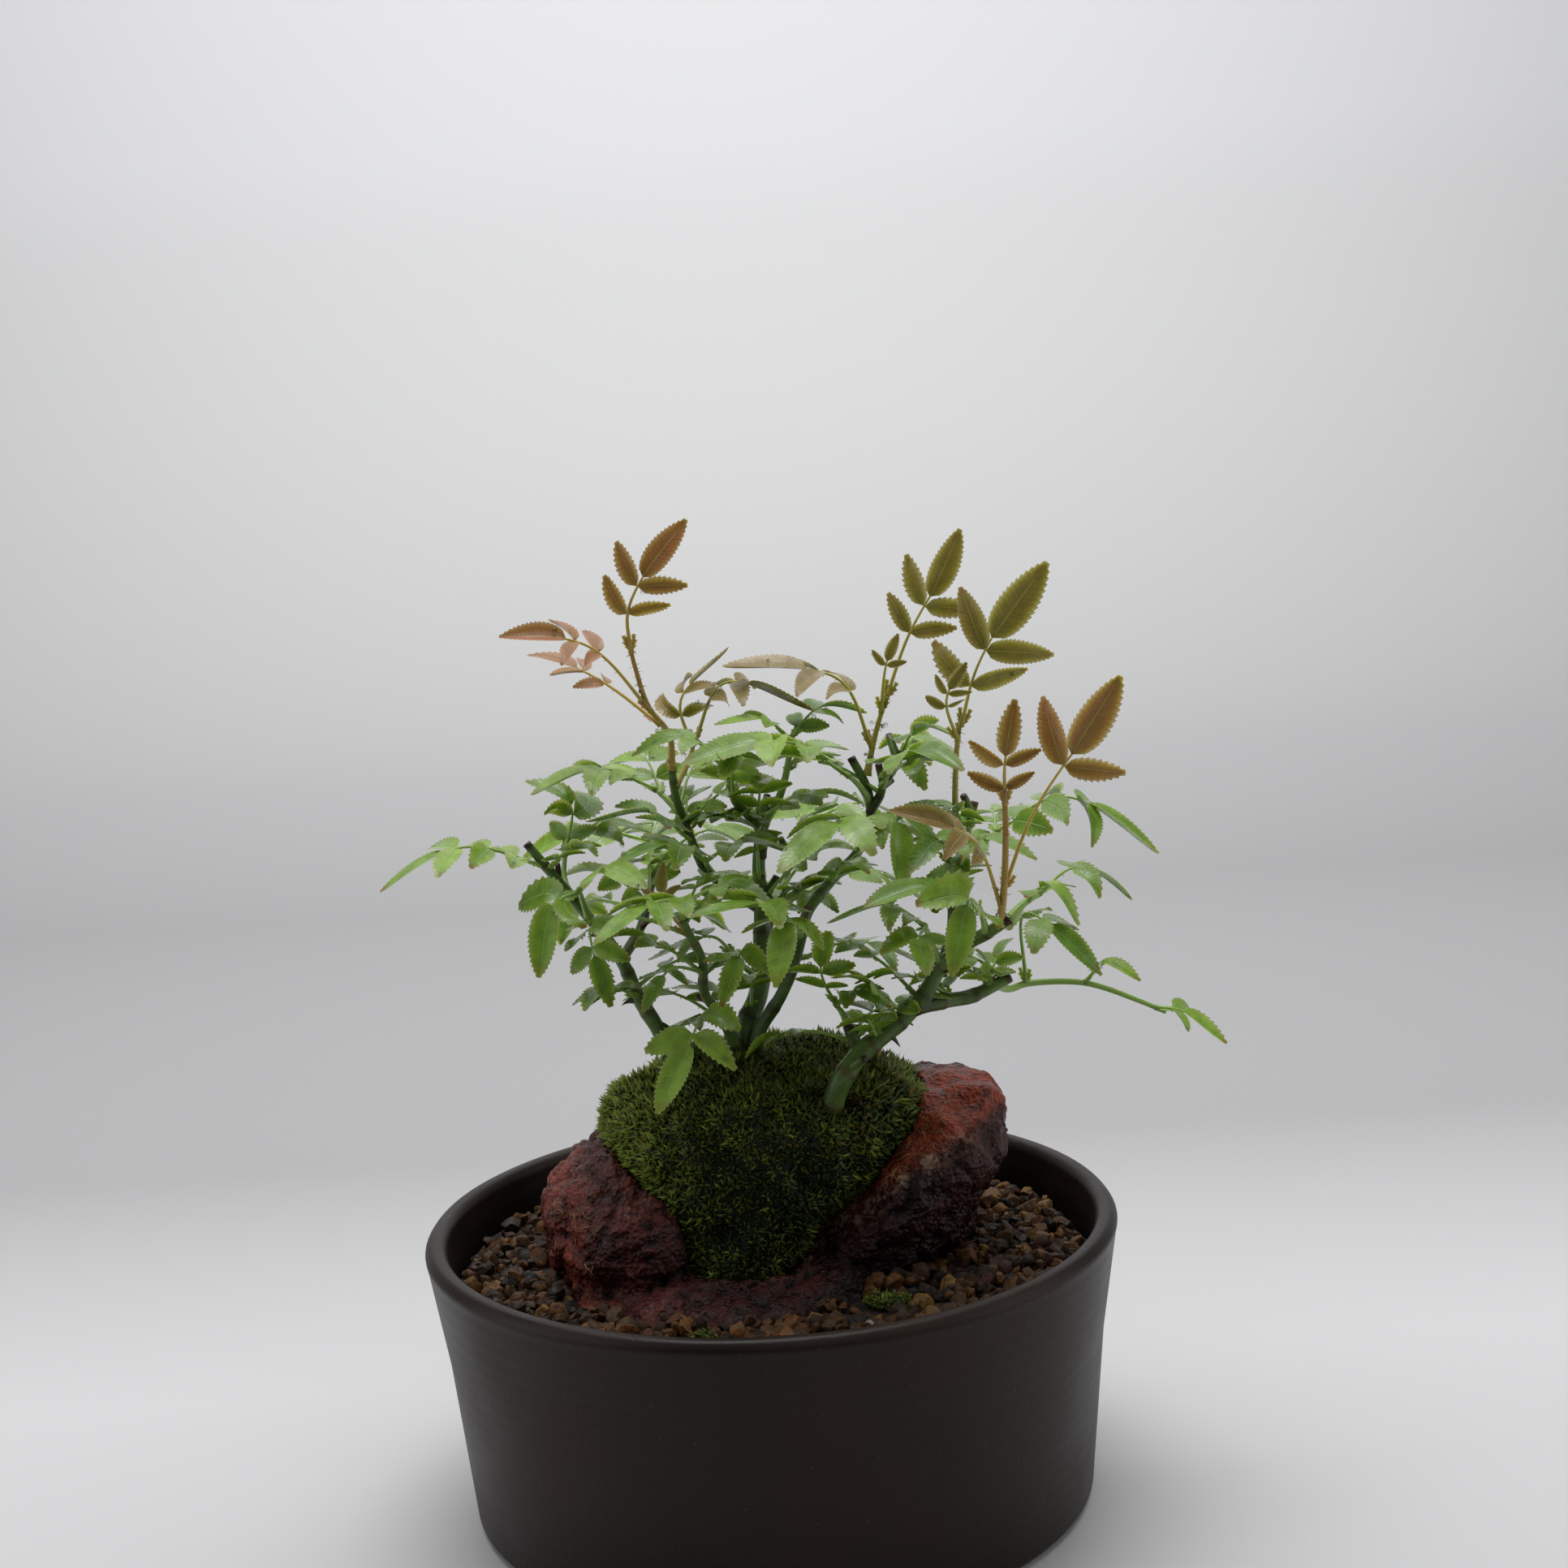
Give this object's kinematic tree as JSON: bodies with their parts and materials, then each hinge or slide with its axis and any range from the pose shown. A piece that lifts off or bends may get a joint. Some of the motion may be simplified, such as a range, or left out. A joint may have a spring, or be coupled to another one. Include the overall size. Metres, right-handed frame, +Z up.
{
  "type": "potted miniature rose bonsai",
  "caption": "Miniature rose bonsai with thorny green canes and serrated compound leaves, rooted over a mossy lava stone in a round unglazed pot.",
  "frame": {"origin": "middle of the pot's flat foot, on the surface it stands on", "axes": "+Z up along the pot's axis, -Y towards the plant's front, +X to the right as seen from the front"},
  "size_m": [0.1564, 0.13, 0.1849],
  "materials": {
    "stoneware": "satin",
    "plastic": "matte",
    "soil": "matte",
    "lava": "matte",
    "muck": "matte",
    "moss": "matte",
    "cane": "satin",
    "green": "satin",
    "bronze": "satin",
    "red": "satin"
  },
  "bodies": {
    "root": {"pot": "stoneware", "drain_screen_left": "plastic", "drain_screen_right": "plastic", "soil": "soil", "lava_stone": "lava", "root_ball": "muck", "moss_cushion": "moss", "moss_tuft_right": "moss", "moss_tuft_left": "moss", "canes": "cane", "young_shoot_left": "red", "young_shoot_centre": "bronze", "young_shoot_right": "bronze", "young_shoot_front": "red", "spray_top_left": "bronze", "leaf_far_left": "green", "spray_upper_left": "green", "spray_left_hanging": "green", "leaf_left_low": "green", "spray_front_left": "green", "leaf_bud_left": "red", "spray_top_back_left": "green", "leaf_middle_left": "green", "spray_inner_left": "green", "spray_crown_left": "green", "spray_crown": "green", "spray_long_centre": "green", "spray_crown_right": "green", "leaf_bright_right": "green", "spray_front_centre": "green", "spray_centre_low": "green", "spray_trunk_dark": "green", "leaf_foot_left": "green", "leaf_foot_thin": "green", "leaf_lower_centre": "green", "spray_foot_centre": "green", "spray_right_inner": "green", "spray_right_front": "green", "spray_right_middle": "green", "spray_right_upper": "green", "spray_right_tip": "green", "shoot_low_right": "green", "spray_back_left": "green", "spray_back_low": "green", "spray_back_right": "green", "spray_back_centre": "green"}
  },
  "joints": []
}
